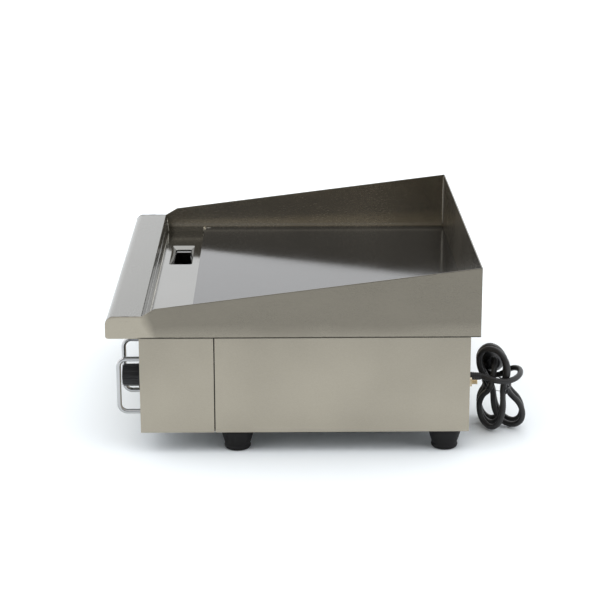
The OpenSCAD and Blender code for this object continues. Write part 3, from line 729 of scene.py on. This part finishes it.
# Free stretch: out of the strain relief, across the waist, round the loop and back behind it
CORD_LEAD = [
    EXIT, (198.2, 250, 76), (201, 256, 75.2), (204.6, 263, 73.8), (207.8, 271, 72.4), (208.8, 280, 72),
    (205.6, 289, 74), (198, 295.5, 77.6), (187.5, 298.5, 80.6), (176, 297.5, 80.6), (165.5, 292, 77.6),
    (156.5, 284, 73), (149, 275, 66), (143, 267, 61.5), (138, 259, 59.5), (134, 252, 62),
]
# Last stretch: up in front of the top ring, then back through it to the plug
CORD_TAIL = [
    (192, 260, 62), (194.5, 261.5, 70), (193.5, 262, 79), (188.5, 263, 87), (180, 264, 91.5),
    (170.5, 265, 90.5), (161.5, 266, 85.5), (153.5, 267, 80), PLUG_END,
]
# One turn: two rings of radius RING_R, RING_HALF above and below the waist
RING_R = 23.5
RING_HALF = 31
WAIST_Y, WAIST_Z = 266, 59.5
# The turns start at HANK_X, on the HANK_START-th point of the first one, and advance by HANK_PITCH each
HANK_X, HANK_PITCH, HANK_TURNS = 146, 9.6, 4.93
HANK_START = 14
# How far the rings are turned sideways, in degrees, and shifted along Y; the far tops hang lower
TOP_TWIST, LOW_TWIST, TWIST_SPREAD = 44, 51, 6
TOP_SHIFT, LOW_SHIFT, LOW_SPREAD, FAR_SHIFT = -5.5, 5.5, 13.5, 5
FAR_DROP = 15
# Room that the settled lead keeps to, as the lowest and the highest point of its centreline
CORD_LOW, CORD_HIGH = (128, 243, 3.75), (222, 302, 109.5)
TIE_Z, TIE_R, TIE_EYE = 58.5, 0.9, (208, 277.5, 60.5)


def hank_turn():
    """One turn of the hank, in its own plane: two rings joined by a narrow waist."""
    side = math.sqrt((2 * RING_R) ** 2 - RING_HALF ** 2)
    tilt = math.degrees(math.atan2(RING_HALF, side))
    return (
        arc_points(0, RING_HALF, RING_R, 180 + tilt, -tilt)
        + arc_points(side, 0, RING_R, 180 - tilt, 180 + tilt)
        + arc_points(0, -RING_HALF, RING_R, tilt, -180 - tilt)
        + arc_points(-side, 0, RING_R, -tilt, tilt)
    )


def hank_points():
    """The turns follow each other along X, turned half sideways, and their low rings part left and right."""
    turn = hank_turn()
    points = []
    for i in range(HANK_START, int(len(turn) * HANK_TURNS)):
        u, v = turn[i % len(turn)]
        side = -1 if (i // len(turn)) % 2 == 0 else 1
        low, high = smooth_step((8 - v) / 48), smooth_step((v + 4) / 38)
        behind = 1 - i / (len(turn) * HANK_TURNS)
        twist = math.radians(TOP_TWIST + (LOW_TWIST - TWIST_SPREAD * side - TOP_TWIST) * low)
        x = HANK_X + HANK_PITCH * i / len(turn) + u * math.sin(twist)
        shift = FAR_SHIFT * behind + TOP_SHIFT * high + (LOW_SHIFT + side * LOW_SPREAD) * low
        y = WAIST_Y + shift + u * math.cos(twist)
        points.append((x, y, WAIST_Z + v - FAR_DROP * behind * high))
    return points


def resample(points, step):
    """The same line with evenly spaced points."""
    line = np.array(points, float)
    along = np.r_[0, np.cumsum(np.linalg.norm(np.diff(line, axis=0), axis=1))]
    at = np.linspace(0, along[-1], max(2, int(round(along[-1] / step)) + 1))
    return np.column_stack([np.interp(at, along, line[:, k]) for k in range(3)])


def smoothed(line, rounds):
    line = line.copy()
    for _ in range(rounds):
        line[1:-1] = 0.5 * line[1:-1] + 0.25 * (line[:-2] + line[2:])
    return line


def opened_bends(line, bend, reach=4):
    """Moves that push points apart where the line bends more tightly than bend, and smooth its curl."""
    move = np.zeros_like(line)
    chord = 2 * bend * math.sin(reach * CORD_STEP / bend)
    across = line[2 * reach:] - line[:-2 * reach]
    length = np.linalg.norm(across, axis=1, keepdims=True)
    spread = np.maximum(chord - length, 0) * 0.5 * across / length
    move[2 * reach:] += spread
    move[:-2 * reach] -= spread
    curl = line[:-2] - 2 * line[1:-1] + line[2:]
    move[1:-1] += 0.1 * curl
    move[2:-2] -= 0.05 * (curl[:-2] - 2 * curl[1:-1] + curl[2:])
    return move


def parted_strands(line, gap):
    """Moves that part strands closer than gap, leaving out neighbours on the same strand."""
    index = np.arange(len(line))
    same_strand = np.abs(index[:, None] - index[None]) * CORD_STEP <= 22
    apart = line[:, None] - line[None]
    distance = np.linalg.norm(apart, axis=2)
    distance[same_strand] = 1e9
    overlap = np.maximum(gap - distance, 0)
    share = np.maximum((overlap > 0).sum(1), 1)[:, None]
    return 0.6 * ((apart / distance[..., None]) * overlap[..., None]).sum(1) / share


def evened_links(line):
    """Brings neighbouring points back towards CORD_STEP apart, odd and even links in turn."""
    for start in (0, 1) * 4:
        a, b = line[start:-1:2], line[start + 1::2]
        link = b - a
        size = np.linalg.norm(link, axis=1, keepdims=True)
        shift = (size - CORD_STEP) / size * 0.5 * link
        line[start:-1:2] += shift
        line[start + 1::2] -= shift
    return line


def settle(line, rounds=220, gap=7.65, bend=27.0):
    """Relaxes the lead between its fixed ends: bends open towards bend, and strands move gap apart."""
    ends = line[:2].copy(), line[-2:].copy()
    for _ in range(rounds):
        line = line + (opened_bends(line, bend) + parted_strands(line, gap))
        line = np.clip(evened_links(line), CORD_LOW, CORD_HIGH)
        line[:2], line[-2:] = ends
    return line


def lead_line():
    """The lead's centreline in millimetres, from the strain relief to the plug."""
    route = smoothed(resample(CORD_LEAD + hank_points() + CORD_TAIL, CORD_STEP), 6)
    return settle(resample(route, CORD_STEP))


def make_tie(line):
    """Twisted tie drawn tight round the strands at the waist, with a small eye at its ends."""
    strands = line[np.abs(line[:, 2] - TIE_Z) < CORD_STEP]
    ring = []
    for i in range(121):
        a = 2 * math.pi * i / 120
        outward = np.array((math.cos(a), math.sin(a)))
        outermost = strands[np.argmax(strands[:, :2] @ outward)]
        x, y = outermost[:2] + (CORD_D / 2 + TIE_R) * outward
        ring.append((x, y, TIE_Z + 1.2 * math.sin(2 * a)))
    eye = []
    for i in range(25):
        a = math.radians(100 + 340 * i / 24)
        eye.append((TIE_EYE[0], TIE_EYE[1] + 2.2 * math.cos(a), TIE_EYE[2] + 4.2 * math.sin(a)))
    joined("twist_tie", [bead(ring, TIE_R, 0.4), bead(eye, TIE_R, 0.4)], "black")


def make_cord(line):
    """The lead as one round open spline, with the plug, its pins and the tie on it."""
    data = bpy.data.curves.new("mains_lead", "CURVE")
    data.dimensions = "3D"
    data.bevel_depth = CORD_D / 2 * MM
    data.bevel_resolution = 4
    data.use_fill_caps = True
    spline = data.splines.new("POLY")
    spline.points.add(len(line) - 1)
    for point, place in zip(spline.points, line * MM):
        point.co = (*place, 1)
    data.materials.append(MATERIALS["cord"])
    piece = bpy.data.objects.new("mains_lead", data)
    scene.collection.objects.link(piece)
    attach(piece, ROOT)
    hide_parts("power_cord", "cord_hank")


# ---------- stage and light ----------

def make_stage():
    data = bpy.data.meshes.new("floor")
    data.from_pydata([(-9, -9, 0), (9, -9, 0), (9, 9, 0), (-9, 9, 0)], [], [(0, 1, 2, 3)])
    floor = bpy.data.objects.new("floor", data)
    scene.collection.objects.link(floor)
    m = Shader("floor", Base_Color=(0.87, 0.9, 0.92, 1), Roughness=0.85)
    data.materials.append(m.material)


def make_light():
    """Soft light from all round, much darker from +X and a little dimmer from -X, before a white world."""
    scene.view_settings.view_transform = "Standard"
    world = bpy.data.worlds.new("studio")
    scene.world = world
    world.use_nodes = True
    tree = world.node_tree
    background = tree.nodes["Background"]
    background.inputs["Color"].default_value = (0.97, 0.985, 1, 1)
    coords = tree.nodes.new("ShaderNodeTexCoord")
    split = tree.nodes.new("ShaderNodeSeparateXYZ")
    tree.links.new(coords.outputs["Generated"], split.inputs["Vector"])

    def along_x(start, end, low, high, ease="LINEAR"):
        ramp = tree.nodes.new("ShaderNodeMapRange")
        ramp.interpolation_type = ease
        tree.links.new(split.outputs["X"], ramp.inputs["Value"])
        for name, value in {"From Min": start, "From Max": end, "To Min": low, "To Max": high}.items():
            ramp.inputs[name].default_value = value
        return ramp.outputs["Result"]

    strength = tree.nodes.new("ShaderNodeMath")
    strength.operation = "MULTIPLY"
    tree.links.new(along_x(0.5, 0.86, 1.75, 0.28, "SMOOTHSTEP"), strength.inputs[0])
    tree.links.new(along_x(-0.92, -0.6, 0.74, 1.0), strength.inputs[1])
    path = tree.nodes.new("ShaderNodeLightPath")
    seen = tree.nodes.new("ShaderNodeMix")
    seen.data_type = "FLOAT"
    tree.links.new(path.outputs["Is Camera Ray"], seen.inputs["Factor"])
    tree.links.new(strength.outputs["Value"], seen.inputs["A"])
    seen.inputs["B"].default_value = 1.15
    tree.links.new(seen.outputs["Result"], background.inputs["Strength"])


make_camera()
make_materials()
dress_cad()
make_fittings()
lead = lead_line()
make_tie(lead)
make_cord(lead)
soften_edges()
make_side("splash_side_right", "splash_right", 1)
make_side("splash_side_left", "splash_left", -1)
make_lip()
make_trough()
make_welds()
make_dial()
make_lamps()
make_screw_crosses()
make_stage()
make_light()
